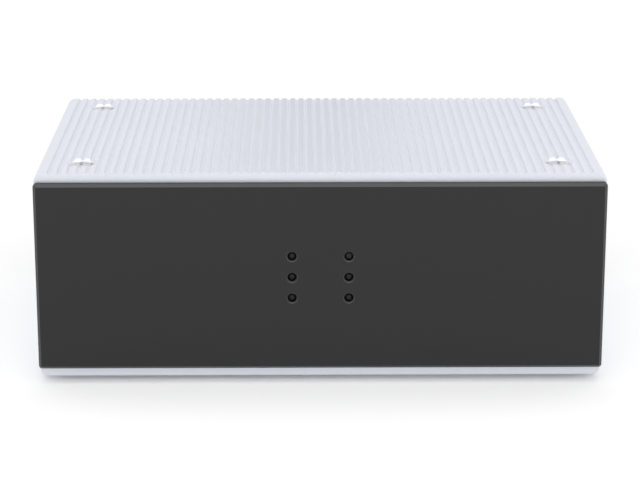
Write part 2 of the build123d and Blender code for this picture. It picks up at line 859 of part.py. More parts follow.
def usb_a_shell():
    front = case_y1 + usb_reach
    shell = bar(usb_a_x, usb_a_z, usb_a_width, usb_a_height, front - usb_a_depth, front)
    for z in usb_a_levels():
        shell -= bar(usb_a_x, z, usb_a_mouth_width, usb_a_mouth_height, front - usb_a_mouth_depth, front)
    return shell


def usb_a_tongues():
    front = case_y1 + usb_reach
    made = []
    for z in usb_a_levels():
        middle = z + (usb_a_mouth_height - usb_a_tongue_height) / 2 - usb_a_tongue_drop
        y0, y1 = front - usb_a_mouth_depth, front - usb_a_tongue_setback
        made.append(bar(usb_a_x, middle, usb_a_tongue_width, usb_a_tongue_height, y0, y1))
    return made


def audio_socket(x):
    z = audio_z
    back = panel_in_y - audio_depth
    front = case_y1 + audio_collar_reach
    body = bar(x, z, audio_width, audio_height, back, panel_in_y)
    body += rod_y(audio_collar_radius, x, z, panel_in_y, front)
    body -= rod_y(audio_bore_radius, x, z, front - audio_bore_depth, front)
    mouth = audio_bore_radius + audio_mouth_bevel
    return body - cone_y(audio_bore_radius, mouth, x, z, front - audio_mouth_bevel, front)


# ---- reset switch ---------------------------------------------------------------------------
reset_cap_y0 = panel_in_y - reset_cap_back
reset_front_y = reset_cap_y0 - reset_travel - reset_stop_gap
reset_stem_y0 = reset_front_y - reset_stem_hold


def reset_switch():
    body = bar(reset_x, reset_z, reset_width, reset_height, reset_front_y - reset_depth, reset_front_y)
    bore = reset_stem_radius + reset_stem_clearance
    bore_y0 = reset_stem_y0 - reset_travel - reset_stop_gap
    return body - rod_y(bore, reset_x, reset_z, bore_y0, reset_front_y)


def reset_cap():
    cap = rod_y(reset_cap_radius, reset_x, reset_z, reset_cap_y0, case_y1 + reset_cap_reach)
    cap = fillet(cap.edges().sort_by(Axis.Y)[-1], reset_cap_edge)
    return cap + rod_y(reset_stem_radius, reset_x, reset_z, reset_stem_y0, reset_cap_y0)


# ---- mains inlet ----------------------------------------------------------------------------
inlet_front_y = case_y1 + inlet_flange_thickness
mouth_z1 = inlet_z + inlet_body_height / 2 - inlet_mouth_top
mouth_z0 = mouth_z1 - inlet_mouth_height
mouth_z = (mouth_z0 + mouth_z1) / 2
mouth_floor_y = inlet_front_y - inlet_mouth_depth
drawer_z1 = mouth_z0 - drawer_gap
drawer_z0 = drawer_z1 - drawer_height
drawer_y1 = inlet_front_y + drawer_face_reach
drawer_y0 = drawer_y1 - drawer_depth
fuse_z = drawer_z0 + drawer_floor + fuse_clearance + fuse_radius
fuse_y = drawer_y1 - fuse_setback
pin_places = [
    (power_x - inlet_pin_pitch / 2, mouth_z - inlet_pin_drop, inlet_pin_width),
    (power_x + inlet_pin_pitch / 2, mouth_z - inlet_pin_drop, inlet_pin_width),
    (power_x, mouth_z - inlet_pin_drop + inlet_earth_rise, inlet_earth_pin_width),
]


def inlet_housing():
    back = case_y1 - inlet_body_depth
    body = bar(power_x, inlet_z, inlet_body_width, inlet_body_height, back, case_y1)
    flange = RectangleRounded(inlet_flange_width, inlet_flange_height, inlet_flange_radius)
    body += along_y(Pos(power_x, inlet_z) * flange, case_y1, inlet_front_y)
    mouth = Rectangle(inlet_mouth_width, inlet_mouth_height)
    mouth = chamfer(mouth.vertices().sort_by(Axis.Y)[-2:], inlet_mouth_bevel)
    body -= along_y(Pos(power_x, mouth_z) * mouth, mouth_floor_y, inlet_front_y)
    wide = drawer_width + 2 * drawer_clearance
    high = drawer_height + 2 * drawer_clearance
    middle_z = (drawer_z0 + drawer_z1) / 2
    body -= bar(power_x, middle_z, wide, high, drawer_y0 - drawer_clearance, inlet_front_y)
    for x, z, width in pin_places:
        body -= bar(x, z, inlet_pin_thickness, width, back, mouth_floor_y)
    return body


def inlet_pins():
    made = []
    back = case_y1 - inlet_body_depth
    for x, z, width in pin_places:
        pin = bar(x, z, inlet_pin_thickness, width, back, mouth_floor_y + inlet_pin_reach)
        pin = chamfer(pin.edges().filter_by(Axis.Z).group_by(Axis.Y)[-1], inlet_pin_bevel)
        made.append(pin + tab(x, z, back))
    return made


def tab(x, z, y):
    """A flat terminal that stands back from the plane at y."""
    return bar(x, z, inlet_tab_thickness, inlet_tab_width, y - inlet_tab_length, y)


def fuse_drawer():
    half_x = drawer_width / 2
    drawer = block(power_x - half_x, power_x + half_x, drawer_y0, drawer_y1, drawer_z0, drawer_z1)
    radius = fuse_radius + fuse_clearance
    reach = fuse_length / 2 + fuse_clearance
    drawer -= block(power_x - reach, power_x + reach, fuse_y - radius, fuse_y + radius, fuse_z, drawer_z1)
    drawer -= Pos(power_x, fuse_y, fuse_z) * Rot(0, 90, 0) * Cylinder(radius, 2 * reach)
    notch = drawer_notch_width / 2
    y0, z0 = drawer_y1 - drawer_notch_depth, drawer_z1 - drawer_notch_height
    return drawer - block(power_x - notch, power_x + notch, y0, drawer_y1, z0, drawer_z1)


def fuse():
    along_x = Pos(power_x, fuse_y, fuse_z) * Rot(0, 90, 0)
    tube = along_x * Cylinder(fuse_glass_radius, fuse_length - fuse_cap_length)
    for side in (-1, 1):
        middle = side * (fuse_length - fuse_cap_length) / 2
        tube += along_x * Pos(0, 0, middle) * Cylinder(fuse_radius, fuse_cap_length)
    return tube


# ---- rocker switch --------------------------------------------------------------------------
pivot_y = case_y1 - rocker_pivot_back
switch_front_y = case_y1 + switch_flange_thickness
tab_places = [
    (power_x + i * switch_tab_gap / 2, switch_z + k * switch_tab_rise) for i in (-1, 1) for k in (-1, 1)
]


def switch_housing():
    back = case_y1 - switch_body_depth
    body = bar(power_x, switch_z, switch_body_width, switch_body_height, back, case_y1)
    flange = RectangleRounded(switch_flange_width, switch_flange_height, switch_flange_radius)
    body += along_y(Pos(power_x, switch_z) * flange, case_y1, switch_front_y)
    well_y0 = case_y1 - switch_well_depth
    body -= bar(power_x, switch_z, switch_well_width, switch_well_height, well_y0, switch_front_y)
    hole = rocker_pin_radius + rocker_pin_clearance
    z0, z1 = switch_z - switch_body_height / 2, switch_z + switch_body_height / 2
    return body - rod_z(hole, power_x, pivot_y, z0, z1)


def rocker():
    """The rocker in its off position: each half of its face leans by half the throw."""
    lean = math.radians(rocker_throw / 2)
    middle = switch_front_y + rocker_crown - pivot_y
    reach = switch_well_width / 2 - rocker_end_clearance - middle * math.sin(lean)
    half = reach * math.cos(lean)
    end = middle + half * math.tan(lean)
    points = [(0, middle), (half, end), (half, 0), (rocker_keel_width / 2, -rocker_keel)]
    mirrored = [(-x, y) for x, y in reversed(points[1:])]
    profile = make_face(Polyline(*(points + mirrored), close=True))
    body = Pos(0, 0, -rocker_width / 2) * extrude(profile, rocker_width)
    span = rocker_width + 2 * rocker_pin_length
    body += Cylinder(rocker_pin_radius, span)
    return Pos(power_x, pivot_y, switch_z) * Rot(0, 0, -rocker_throw / 2) * body


# ---- power supply ---------------------------------------------------------------------------
supply_x = (supply_x0 + supply_x1) / 2
transformer_y = supply_y0 + transformer_setback


def transformer():
    """The laminated core and the wound coil through its middle."""
    z = main_top_z + transformer_height / 2
    y0, y1 = transformer_y - transformer_width / 2, transformer_y + transformer_width / 2
    wide = transformer_length - 2 * transformer_leg
    high = transformer_height - 2 * transformer_leg
    core = bar(supply_x, z, transformer_length, transformer_height, y0, y1)
    core -= bar(supply_x, z, wide, high, y0, y1)
    less = 2 * coil_gap
    coil = bar(supply_x, z, wide - less, high - less, y0 - coil_overhang, y1 + coil_overhang)
    coil = fillet(coil.edges().filter_by(Axis.Z), coil_overhang)
    return core, coil


def capacitors():
    """The large mains capacitor lying down and two output capacitors standing up."""
    y = supply_y1 - bulk_setback
    bulk = Pos(supply_x, y, main_top_z + bulk_capacitor_radius) * Rot(0, 90, 0)
    made = [bulk * Cylinder(bulk_capacitor_radius, bulk_capacitor_length)]
    y = supply_y0 + output_setback
    for side in (-1, 1):
        x = supply_x + side * (output_capacitor_radius + output_capacitor_gap)
        made.append(rod_z(output_capacitor_radius, x, y, main_top_z, main_top_z + output_capacitor_height))
    return made


def heatsink():
    z0, z1 = main_top_z, main_top_z + heatsink_height
    y = transformer_y + transformer_width / 2 + coil_overhang + heatsink_gap
    half = heatsink_length / 2
    made = block(supply_x - half, supply_x + half, y, y + heatsink_thickness, z0, z1)
    step = (heatsink_length - heatsink_thickness) / (heatsink_fins - 1)
    for fin in range(heatsink_fins):
        x = supply_x - half + fin * step
        depth = heatsink_thickness + heatsink_fin_depth
        made += block(x, x + heatsink_thickness, y, y + depth, z0, z1)
    return made


# ---- chips, riser, headers and wiring -------------------------------------------------------
riser_x = (main_board_x0 + main_board_x1) / 2
riser_y = port_board_y0 + riser_setback
ribbon_y = main_board_y0 + ribbon_setback
ribbon_z = case_middle_z + light_board_height / 2 - light_board_hole_inset
ribbon_from_y = light_board_y + board_thickness + ribbon_header_depth
dc_from_x = supply_x1 - dc_supply_inset
dc_to_x = main_board_x0 + dc_main_inset
dc_y = main_board_y0 + dc_setback


def control_chips():
    made = []
    y = main_board_y0 + chip_setback
    for x, size in zip(spread(chip_sizes, main_board_x0, main_board_x1), chip_sizes):
        made.append(Pos(x, y, main_top_z + chip_height / 2) * Box(size, size, chip_height))
    return made


def riser_board():
    half = riser_width / 2
    z0, z1 = main_top_z + riser_socket_floor, port_z - riser_socket_floor
    return block(riser_x - half, riser_x + half, riser_y, riser_y + board_thickness, z0, z1)


def board_headers():
    """The riser's two sockets, the ribbon's two headers, and the supply's terminals."""
    made = []
    half = riser_width / 2 + header_margin
    middle_y = riser_y + board_thickness / 2
    slot_half = riser_width / 2 + seat_clearance
    slot_deep = board_thickness / 2 + seat_clearance
    slot_z0, slot_z1 = main_top_z + riser_socket_floor, port_z - riser_socket_floor
    y0, y1 = middle_y - slot_deep, middle_y + slot_deep
    slot = block(riser_x - slot_half, riser_x + slot_half, y0, y1, slot_z0, slot_z1)
    y0, y1 = middle_y - riser_socket_depth / 2, middle_y + riser_socket_depth / 2
    for z0 in (main_top_z, port_z - riser_socket_height):
        socket = block(riser_x - half, riser_x + half, y0, y1, z0, z0 + riser_socket_height)
        made.append(socket - slot)
    wide = ribbon_width / 2 + header_margin
    deep = ribbon_header_depth / 2
    y1 = light_board_y + board_thickness
    made.append(block(-wide, wide, y1, ribbon_from_y, ribbon_z - deep, ribbon_z + deep))
    z1 = main_top_z + ribbon_header_height
    made.append(block(-wide, wide, ribbon_y - deep, ribbon_y + deep, main_top_z, z1))
    small = dc_header_size / 2
    for x in (dc_from_x, dc_to_x):
        made.append(block(x - small, x + small, dc_y - small, dc_y + small, main_top_z, z1))
    wide = switch_tab_gap / 2 + terminal_margin
    made.append(block(power_x - wide, power_x + wide, terminal_y - deep, terminal_y + deep, main_top_z, z1))
    return made


def routed(points, radius, section):
    """A section carried along straight runs and tangent arcs."""
    route = FilletPolyline(*points, radius=radius)
    start = Plane(origin=route @ 0, z_dir=route % 0, x_dir=(1, 0, 0))
    return sweep(start * section, path=route)


def wire(points):
    return routed(points, wire_bend, Circle(wire_radius))


def ribbon_cable():
    low_z = main_top_z + ribbon_header_height
    points = [(0, ribbon_from_y, ribbon_z), (0, ribbon_y, ribbon_z), (0, ribbon_y, low_z)]
    return routed(points, ribbon_bend, Rectangle(ribbon_width, ribbon_thickness))


def mains_wires():
    """Two wires from the inlet up to the switch, and two from the switch down to the supply board."""
    made = []
    inlet_end = case_y1 - inlet_body_depth - inlet_tab_length
    switch_end = case_y1 - switch_body_depth - inlet_tab_length
    low_z = switch_z - switch_tab_rise
    high_z = switch_z + switch_tab_rise
    top = main_top_z + ribbon_header_height
    for side, place in ((-1, pin_places[0]), (1, pin_places[1])):
        x, z = place[0], place[1]
        to_x = power_x + side * switch_tab_gap / 2
        turn_y = inlet_end - wire_turn
        up = [(x, inlet_end, z), (x, turn_y, z), (to_x, turn_y, low_z), (to_x, switch_end, low_z)]
        down = [(to_x, switch_end, high_z), (to_x, terminal_y, high_z), (to_x, terminal_y, top)]
        made += [wire(up), wire(down)]
    return made


def dc_wires():
    made = []
    z0 = main_top_z + ribbon_header_height
    for side in (-1, 1):
        y = dc_y + side * (wire_radius + wire_gap)
        top = z0 + dc_rise
        made.append(wire([(dc_from_x, y, z0), (dc_from_x, y, top), (dc_to_x, y, top), (dc_to_x, y, z0)]))
    return made


def earth_wire():
    """The wire from the earth pin and the stud that it ends on."""
    x, z = pin_places[2][0], pin_places[2][1]
    y = case_y1 - inlet_body_depth - inlet_tab_length
    turn_y = y - earth_turn
    stud_z = inner_z0 + earth_stud_height
    stud = rod_z(earth_stud_radius, x, turn_y, inner_z0 - floor_stud_length, stud_z)
    lead = routed([(x, y, z), (x, turn_y, z), (x, turn_y, stud_z)], earth_bend, Circle(wire_radius))
    return stud, lead


def rear_panel():
    panel = along_y(mouth_outline(), panel_in_y, case_y1)
    gap = cutout_clearance
    for x, z in channel_places():
        panel -= rod_y(end_hole_radius, x, z, panel_in_y, case_y1)
    for x, z in video_places.values():
        panel -= along_y(d_outline(x, z, gap), panel_in_y, case_y1)
        for side in (-1, 1):
            jack_x = x + side * video_screw_pitch / 2
            panel -= rod_y(jack_shank_radius + jack_clearance, jack_x, z, panel_in_y, case_y1)
    cutouts = [(x, z, usb_b_width, usb_b_height) for x, z in usb_b_places.values()]
    cutouts.append((usb_a_x, usb_a_z, usb_a_width, usb_a_height))
    cutouts.append((power_x, inlet_z, inlet_body_width, inlet_body_height))
    cutouts.append((power_x, switch_z, switch_body_width, switch_body_height))
    for x, z, width, height in cutouts:
        half_x, half_z = width / 2 + gap, height / 2 + gap
        panel -= block(x - half_x, x + half_x, panel_in_y, case_y1, z - half_z, z + half_z)
    for x in (speaker_x, microphone_x):
        panel -= rod_y(audio_collar_radius + gap, x, audio_z, panel_in_y, case_y1)
    panel -= rod_y(reset_cap_radius + reset_hole_clearance, reset_x, reset_z, panel_in_y, case_y1)
    return panel


def drilled_bottom_shell():
    """The bottom shell with the blind holes that the spacers' studs and the earth stud screw into."""
    shell = bottom_shell()
    depth = floor_stud_length + floor_stud_clearance
    for x, y in floor_holes():
        shell -= rod_z(spacer_bore_radius, x, y, inner_z0 - depth, inner_z0)
    y = case_y1 - inlet_body_depth - inlet_tab_length - earth_turn
    return shell - rod_z(earth_stud_radius + seat_clearance, power_x, y, inner_z0 - depth, inner_z0)


os.makedirs("parts", exist_ok=True)
save("top_shell", top_shell())
save("bottom_shell", drilled_bottom_shell())
save("pillars", *pillars())
save("clamp_screws", *clamp_screws())
for number, place in enumerate(foot_places(), start=1):
    save(f"foot_{number}", foot(*place))
save("front_plate", front_plate())
save("front_carrier", front_carrier())
save("carrier_screws", *carrier_screws())
save("rear_panel", rear_panel())
save("panel_screws", *panel_screws())
save("light_board", light_board())
for column, x in enumerate(light_x, start=1):
    for row, z in enumerate(light_z, start=1):
        save(f"lamp_{column}_{row}", lamp(x, z))
light_spacers, light_screws = light_board_fixings()
main_holes = port_board_holes() + main_board_front_holes()
port_holes = port_board_holes()
supply_holes = supply_board_holes()
save("main_board", drilled_board(main_board_x0, main_board_x1, main_board_y0, board_y1, main_z, main_holes))
save("port_board", drilled_board(main_board_x0, main_board_x1, port_board_y0, board_y1, port_z, port_holes))
save("supply_board", drilled_board(supply_x0, supply_x1, supply_y0, supply_y1, main_z, supply_holes))
save("board_spacers", *(board_spacers() + light_spacers))
save("board_screws", *(board_screws() + light_screws))
for name, place in video_places.items():
    save(f"video_shell_{name}", video_shell(*place))
    save(f"video_insert_{name}", video_insert(*place))
save("video_jackscrews", *video_jackscrews())
for name, place in usb_b_places.items():
    save(f"usb_b_shell_{name}", usb_b_shell(*place))
    save(f"usb_b_insert_{name}", usb_b_insert(*place))
save("usb_a_shell", usb_a_shell())
save("usb_a_tongues", *usb_a_tongues())
save("speaker_socket", audio_socket(speaker_x))
save("microphone_socket", audio_socket(microphone_x))
save("reset_switch", reset_switch())
save("reset_cap", reset_cap())
save("inlet_housing", inlet_housing())
save("inlet_pins", *inlet_pins())
save("fuse_drawer", fuse_drawer())
save("fuse", fuse())
save("switch_housing", switch_housing())
save("switch_tabs", *[tab(x, z, case_y1 - switch_body_depth) for x, z in tab_places])
save("rocker", rocker())
save("transformer", *transformer())
save("capacitors", *capacitors())
save("heatsink", heatsink())
save("control_chips", *control_chips())
save("riser_board", riser_board())
save("board_headers", *board_headers())
save("ribbon_cable", ribbon_cable())
save("mains_wires", *mains_wires())
save("dc_wires", *dc_wires())
save("earth_wire", *earth_wire())
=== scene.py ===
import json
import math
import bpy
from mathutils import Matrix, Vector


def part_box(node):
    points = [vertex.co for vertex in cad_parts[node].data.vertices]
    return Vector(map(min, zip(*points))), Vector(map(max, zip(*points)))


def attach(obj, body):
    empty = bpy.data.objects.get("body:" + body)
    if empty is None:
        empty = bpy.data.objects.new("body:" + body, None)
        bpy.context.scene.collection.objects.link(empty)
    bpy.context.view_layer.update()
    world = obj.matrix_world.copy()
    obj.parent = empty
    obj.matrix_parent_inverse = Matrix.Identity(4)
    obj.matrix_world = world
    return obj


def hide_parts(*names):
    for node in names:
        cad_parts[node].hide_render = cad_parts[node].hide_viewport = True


bl_info = {
    "name": "Desktop KVM Switch",
    "version": (1, 0, 0),
    "blender": (4, 5, 0),
    "location": "View3D > Sidebar > KVM Switch",
    "description": "Finishes the pieces of a desktop KVM switch round its packed model",
    "category": "Object",
}

import bmesh
import bpy
from bpy.props import FloatProperty, FloatVectorProperty, PointerProperty
from mathutils import Matrix, Vector

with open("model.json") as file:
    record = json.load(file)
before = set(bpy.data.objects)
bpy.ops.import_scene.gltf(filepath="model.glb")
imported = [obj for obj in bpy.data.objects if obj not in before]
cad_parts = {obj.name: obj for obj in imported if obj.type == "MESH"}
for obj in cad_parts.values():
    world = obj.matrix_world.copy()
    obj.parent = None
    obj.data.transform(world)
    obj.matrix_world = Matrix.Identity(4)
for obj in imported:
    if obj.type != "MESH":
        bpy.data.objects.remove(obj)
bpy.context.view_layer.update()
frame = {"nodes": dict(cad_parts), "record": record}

MM = 0.001
PILLAR_RADIUS = 5 * MM
RING_TURNS = 26000.0             # turned rings, in radians per metre
CONTACT_WIDTH = 1.1 * MM         # contacts of a flat data socket
CONTACT_PITCH = 2.4 * MM
CONTACT_LENGTH = 6.2 * MM
CONTACT_SETBACK = 0.8 * MM       # behind the tongue's tip
CONTACT_STAND = 0.12 * MM        # proud of the tongue
CONTACT_THICKNESS = 0.2 * MM
TONGUE_THICKNESS = 1.84 * MM
FUSE_CAP = 4.5 * MM
MERGE_DISTANCE = 0.002 * MM
BODY_OF = {node: body for body, nodes in frame["record"]["behaviour"]["bodies"].items() for node in nodes}


# ---- settings -------------------------------------------------------------------------------
def colour_property(name, red, green, blue, description):
    """A colour setting, written as the levels from 0 to 255 that it shows on a screen."""
    return FloatVectorProperty(
        name=name,
        description=description,
        subtype="COLOR_GAMMA",
        size=3,
        min=0.0,
        max=1.0,
        default=(red / 255, green / 255, blue / 255),
    )


def length_property(name, value, description):
    """A length setting, given in metres."""
    return FloatProperty(
        name=name, description=description, default=value, min=0.0, unit="LENGTH", precision=5
    )


def share_property(name, value, description):
    """A setting from none to full."""
    return FloatProperty(
        name=name, description=description, default=value, min=0.0, max=1.0, subtype="FACTOR"
    )


def power_property(name, value, description):
    """The power of a lamp, in watts."""
    return FloatProperty(name=name, description=description, default=value, min=0.0, unit="POWER")


def angle_property(name, degrees, description):
    """An angle setting, given in degrees."""
    return FloatProperty(
        name=name, description=description, default=math.radians(degrees), subtype="ANGLE"
    )


class CaseFinish(bpy.types.PropertyGroup):
    """The two silver shells."""

    silver: colour_property("Silver", 221, 224, 232, "Colour of the anodised shells")
    roughness: share_property("Roughness", 0.42, "How matt the blasted surface is")
    grain: length_property("Grain", 0.00035, "Size of the blasted grain")
    edge: length_property("Edge", 0.0002, "How far the cut edges are broken")


class PlateFinish(bpy.types.PropertyGroup):
    """The dark front plate and the lamps behind it."""

    dark: colour_property("Dark", 41, 41, 42, "Colour of the anodised front plate")
    roughness: share_property("Roughness", 0.5, "How matt the front plate is")
    resin: colour_property("Resin", 27, 30, 30, "Colour of an unlit lamp")
    edge: length_property("Edge", 0.00012, "How far the plate's edges are broken")


class MetalFinish(bpy.types.PropertyGroup):
    """Screws, plated sockets, pins and brass."""

    zinc: colour_property("Zinc", 205, 207, 210, "Colour of the plated screws")
    nickel: colour_property("Nickel", 196, 194, 188, "Colour of the plated sockets")
    brass: colour_property("Brass", 196, 160, 92, "Colour of the spacers and contacts")
    tin: colour_property("Tin", 188, 190, 192, "Colour of the terminals")


class PlasticFinish(bpy.types.PropertyGroup):
    """Moulded pieces, rubber and wire covers."""

    black: colour_property("Black", 30, 30, 32, "Colour of the black mouldings")
    pale: colour_property("Pale", 224, 221, 212, "Colour of the pale mouldings")
    speaker: colour_property("Speaker", 122, 176, 100, "Colour of the speaker socket")
    microphone: colour_property("Microphone", 210, 128, 148, "Colour of the microphone socket")
    powder: colour_property("Powder", 36, 37, 38, "Colour of the rear panel's coating")
    rubber: colour_property("Rubber", 27, 27, 28, "Colour of the feet")


class BoardFinish(bpy.types.PropertyGroup):
    """Circuit boards and what stands on them."""

    mask: colour_property("Mask", 22, 84, 50, "Colour of the boards' coating")
    track: colour_property("Track", 34, 112, 66, "Colour of the tracks under the coating")
    sleeve: colour_property("Sleeve", 38, 46, 74, "Colour of the capacitors' sleeves")
    ribbon: colour_property("Ribbon", 150, 152, 154, "Colour of the ribbon cable")


class StageSettings(bpy.types.PropertyGroup):
    """Floor, lamps and camera."""

    floor: colour_property("Floor", 250, 250, 250, "Colour of the floor")
    key: power_property("Key", 5.5, "Power of the overhead lamp")
    side: power_property("Side", 2.0, "Power of each side lamp")
    fill: power_property("Fill", 11.0, "Power of the lamp in front")
    ambient: share_property("Ambient", 0.5, "Strength of the light from all round")
    lens: FloatProperty(name="Lens", description="Focal length in millimetres", default=124.3, min=1.0)
    pitch: angle_property("Pitch", 16.05, "How far the camera looks down")
    yaw: angle_property("Yaw", 0.51, "How far the camera looks to the right")
    place: FloatVectorProperty(
        name="Place",
        description="Where the camera is",
        default=(-0.0068, -0.8073, 0.2671),
        subtype="TRANSLATION",
    )


class SwitchSettings(bpy.types.PropertyGroup):
    """All the settings of the KVM switch."""

    case: PointerProperty(type=CaseFinish)
    plate: PointerProperty(type=PlateFinish)
    metal: PointerProperty(type=MetalFinish)
    plastic: PointerProperty(type=PlasticFinish)
    board: PointerProperty(type=BoardFinish)
    stage: PointerProperty(type=StageSettings)


def settings():
    return bpy.context.scene.kvm_switch


def linear(colour):
    """A screen colour as the linear colour that a shader takes."""
    values = [c / 12.92 if c <= 0.04045 else ((c + 0.055) / 1.055) ** 2.4 for c in colour]
    return (*values, 1.0)


def shade(colour, factor):
    """A linear colour made darker or lighter."""
    return (*[c * factor for c in linear(colour)[:3]], 1.0)


# ---- building meshes ------------------------------------------------------------------------
def link(mesh_builder, name, material, body, smooth_angle=40.0):
    """Turns a bmesh into a finished piece at the origin that rides on a body."""
    mesh = bpy.data.meshes.new(name)
    mesh_builder.to_mesh(mesh)
    mesh_builder.free()
    mesh.shade_smooth()
    mesh.set_sharp_from_angle(angle=math.radians(smooth_angle))
    mesh.materials.append(material)
    piece = bpy.data.objects.new(name, mesh)
    bpy.context.scene.collection.objects.link(piece)
    weighted = piece.modifiers.new("Even shading", "WEIGHTED_NORMAL")
    weighted.keep_sharp = True
    weighted.weight = 60
    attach(piece, body)
    return piece


def worked_copy(node, material, edge, segments=2, sharp=28.0, limit=0.4):
    """A copy of a node with its faces made whole and its edges broken, which stands for the node."""
    builder = bmesh.new()
    builder.from_mesh(frame["nodes"][node].data)
    bmesh.ops.remove_doubles(builder, verts=builder.verts, dist=MERGE_DISTANCE)
    bmesh.ops.dissolve_limit(
        builder,
        angle_limit=math.radians(limit),
        use_dissolve_boundaries=False,
        verts=builder.verts,
        edges=builder.edges,
        delimit=set(),
    )
    corners = [e for e in builder.edges if e.is_manifold and e.calc_face_angle(0.0) > math.radians(sharp)]
    bmesh.ops.bevel(
        builder,
        geom=corners,
        offset=edge,
        offset_type="OFFSET",
        segments=segments,
        profile=0.5,
        affect="EDGES",
        clamp_overlap=True,
        material=-1,
    )
    piece = link(builder, node + "_finished", material, BODY_OF[node])
    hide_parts(node)
    return piece


def dress(node, material):
    """Gives a node of the frame its finish."""
    slots = frame["nodes"][node].data.materials
    slots.clear()
    slots.append(material)


# ---- node helpers ---------------------------------------------------------------------------
class Nodes:
    """A short way to add nodes to a tree and join them."""

    def __init__(self, tree):
        self.tree = tree

    def add(self, kind, inputs=None, **attributes):
        node = self.tree.nodes.new(kind)
        for name, value in attributes.items():
            setattr(node, name, value)
        for key, value in (inputs or {}).items():
            self.put(node, key, value)
        return node

    def put(self, node, key, value):
        socket = node.inputs[key]
        if isinstance(value, bpy.types.NodeSocket):
            self.tree.links.new(value, socket)
        else:
            socket.default_value = value

    def math(self, operation, first, second=0.0):
        return self.add("ShaderNodeMath", {0: first, 1: second}, operation=operation).outputs[0]

    def mix(self, factor, first, second):
        node = self.add("ShaderNodeMix", data_type="RGBA")
        self.put(node, "Factor", factor)
        self.put(node, 6, first)
        self.put(node, 7, second)
        return node.outputs[2]

    def scaled(self, vector, scale):
        return self.add("ShaderNodeVectorMath", {0: vector, 1: scale}, operation="MULTIPLY").outputs[0]


def group(name, inputs, outputs, build):
    """A shader node group with these sockets, built once."""
    made = bpy.data.node_groups.get(name)
    if made:
        return made
    made = bpy.data.node_groups.new(name, "ShaderNodeTree")
    for label, kind, value in inputs:
        socket = made.interface.new_socket(label, in_out="INPUT", socket_type=kind)
        if value is not None:
            socket.default_value = value
    for label, kind in outputs:
        made.interface.new_socket(label, in_out="OUTPUT", socket_type=kind)
    nodes = Nodes(made)
    entry = nodes.add("NodeGroupInput")
    leave = nodes.add("NodeGroupOutput")
    build(nodes, entry.outputs, leave)
    return made


def grain_group():
    """Fine speckle with a slow drift of tone, as on blasted or moulded surfaces."""

    def build(nodes, given, leave):
        spot = nodes.add(
            "ShaderNodeTexNoise",
            {"Vector": given["Vector"], "Scale": given["Scale"], "Detail": 3.0, "Roughness": 0.6},
        )
        drift = nodes.add("ShaderNodeTexNoise", {"Vector": given["Vector"], "Scale": 18.0, "Detail": 2.0})
        small = nodes.math("MULTIPLY", nodes.math("SUBTRACT", spot.outputs[0], 0.5), given["Speckle"])
        slow = nodes.math("MULTIPLY", nodes.math("SUBTRACT", drift.outputs[0], 0.5), given["Drift"])
        tone = nodes.math("ADD", nodes.math("ADD", small, slow), 1.0)
        colour = nodes.add("ShaderNodeVectorMath", {0: given["Color"]}, operation="SCALE")
        nodes.put(colour, "Scale", tone)
        rough = nodes.math("ADD", given["Roughness"], nodes.math("MULTIPLY", small, 1.5))
        rough = nodes.math("ADD", rough, nodes.math("MULTIPLY", slow, 1.0))
        nodes.put(leave, "Color", colour.outputs[0])
        nodes.put(leave, "Roughness", rough)
        nodes.put(leave, "Height", spot.outputs[0])

    return group(
        "Grain",
        [
            ("Vector", "NodeSocketVector", None),
            ("Color", "NodeSocketColor", (0.5, 0.5, 0.5, 1.0)),
            ("Scale", "NodeSocketFloat", 2000.0),
            ("Speckle", "NodeSocketFloat", 0.1),
            ("Drift", "NodeSocketFloat", 0.05),
            ("Roughness", "NodeSocketFloat", 0.5),
        ],
        [("Color", "NodeSocketColor"), ("Roughness", "NodeSocketFloat"), ("Height", "NodeSocketFloat")],
        build,
    )


def drawn_group():
    """Long faint lines front to back, as a die leaves on an extrusion or a brush on a plate."""

    def build(nodes, given, leave):
        stretched = nodes.scaled(given["Vector"], given["Stretch"])
        lines = nodes.add(
            "ShaderNodeTexNoise",
            {"Vector": stretched, "Scale": given["Scale"], "Detail": 2.0, "Roughness": 0.55},
        )
        centred = nodes.math("SUBTRACT", lines.outputs[0], 0.5)
        nodes.put(leave, "Lines", nodes.math("MULTIPLY", centred, 2.0))

    return group(
        "Drawn lines",
        [
            ("Vector", "NodeSocketVector", None),
            ("Stretch", "NodeSocketVector", (1.0, 0.02, 1.0)),
            ("Scale", "NodeSocketFloat", 900.0),
        ],
        [("Lines", "NodeSocketFloat")],
        build,
    )


def dust_group():
    """Faint dust that lies on what faces up."""

    def build(nodes, given, leave):
        facing = nodes.add("ShaderNodeNewGeometry")
        parts = nodes.add("ShaderNodeSeparateXYZ", {0: facing.outputs["Normal"]})
        up = nodes.math("MAXIMUM", parts.outputs[2], 0.0)
        patch = nodes.add("ShaderNodeTexNoise", {"Vector": given["Vector"], "Scale": 60.0, "Detail": 4.0})
        amount = nodes.math("MULTIPLY", nodes.math("MULTIPLY", up, patch.outputs[0]), given["Amount"])
        nodes.put(leave, "Dust", amount)

    return group(
        "Dust",
        [("Vector", "NodeSocketVector", None), ("Amount", "NodeSocketFloat", 0.05)],
        [("Dust", "NodeSocketFloat")],
        build,
    )


def bevel_mask_group():
    """Picks out bevels by how far their faces turn away from the object's own three directions."""

    def build(nodes, given, leave):
        facing = nodes.add("ShaderNodeNewGeometry")
        turned = nodes.add("ShaderNodeVectorMath", {0: facing.outputs["True Normal"]}, operation="ABSOLUTE")
        parts = nodes.add("ShaderNodeSeparateXYZ", {0: turned.outputs[0]})
        level = nodes.math("MAXIMUM", parts.outputs[0], parts.outputs[1])
        most = nodes.math("MAXIMUM", level, parts.outputs[2])
        slope = nodes.add("ShaderNodeMapRange", {"Value": most, "From Min": 0.97, "From Max": 0.88})
        nodes.put(leave, "Cut", slope.outputs[0])

    return group("Bevel mask", [], [("Cut", "NodeSocketFloat")], build)


